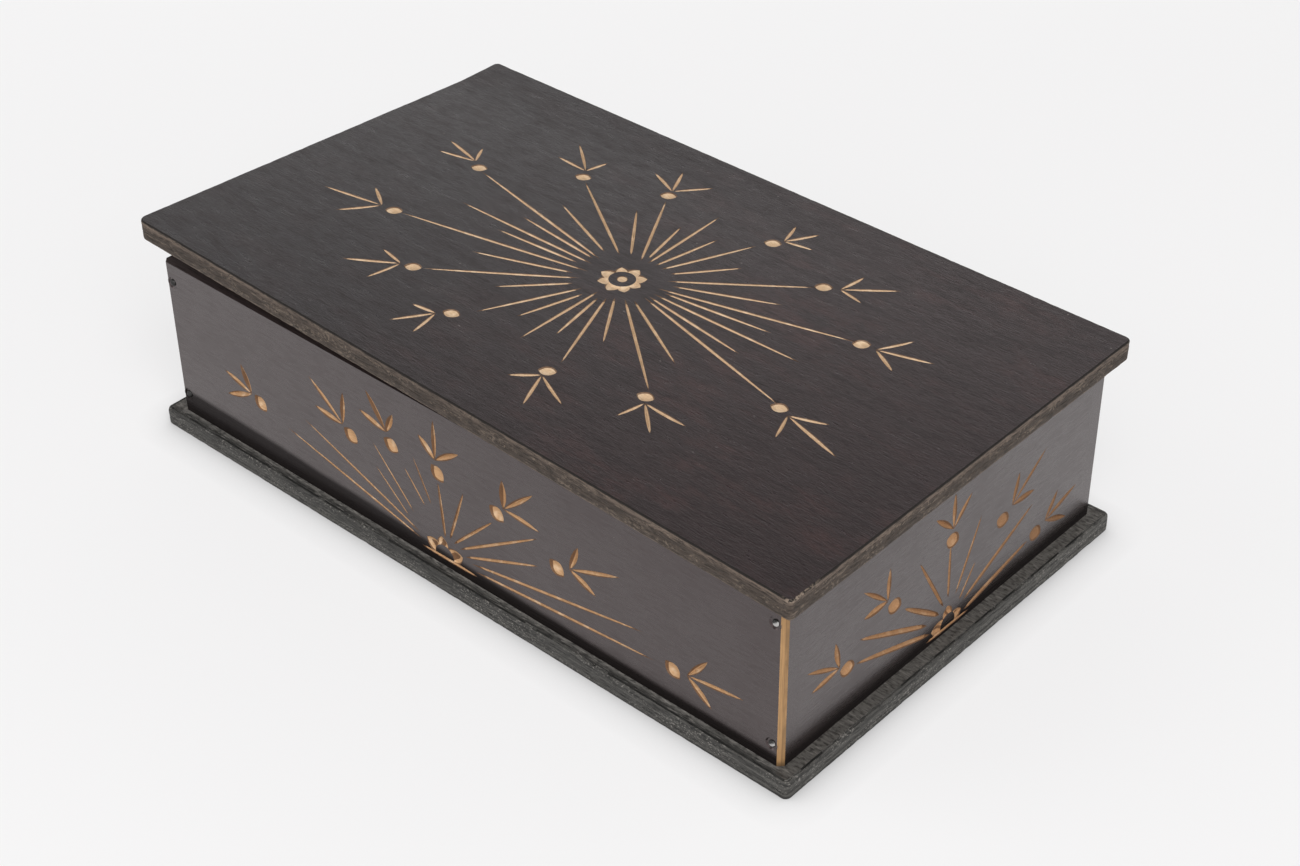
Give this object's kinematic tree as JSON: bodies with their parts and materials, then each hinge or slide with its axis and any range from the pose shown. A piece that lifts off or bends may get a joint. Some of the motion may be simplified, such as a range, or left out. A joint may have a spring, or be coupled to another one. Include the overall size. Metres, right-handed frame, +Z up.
{
  "type": "hinged keepsake box",
  "caption": "Low rectangular wooden keepsake box with an overhanging board lid on butt hinges at the back, nailed walls with chamfered corners and a ledged base board.",
  "frame": {"origin": "middle of the underside of the base board", "axes": "+X along the length, -Y out of the front, +Z up"},
  "size_m": [0.2604, 0.156, 0.0775],
  "materials": {
    "lid_wood": "dark stain under satin lacquer",
    "wall_wood": "dark stain under lacquer outside, bare inside",
    "base_wood": "dark stain, worn and rough",
    "nail_steel": "bright",
    "hinge_brass": "dull",
    "screw_brass": "dull"
  },
  "bodies": {
    "case": {"base_board": "base_wood", "front_wall": "wall_wood", "back_wall": "wall_wood", "left_end_wall": "wall_wood", "right_end_wall": "wall_wood", "base_nails": "nail_steel", "front_left_corner_nails": "nail_steel", "front_right_corner_nails": "nail_steel", "back_left_corner_nails": "nail_steel", "back_right_corner_nails": "nail_steel", "left_hinge_case_leaf": "hinge_brass", "left_hinge_pin": "hinge_brass", "left_hinge_case_screws": "screw_brass", "right_hinge_case_leaf": "hinge_brass", "right_hinge_pin": "hinge_brass", "right_hinge_case_screws": "screw_brass"},
    "lid": {"lid_panel": "lid_wood", "left_hinge_lid_leaf": "hinge_brass", "left_hinge_lid_screws": "screw_brass", "right_hinge_lid_leaf": "hinge_brass", "right_hinge_lid_screws": "screw_brass"}
  },
  "joints": [
    {"name": "lid_hinge", "type": "hinge", "parent": "case", "child": "lid", "pos_m": [0, 0.074, 0.0611], "axis": [-1, 0, 0], "range_deg": [0, 108]}
  ]
}
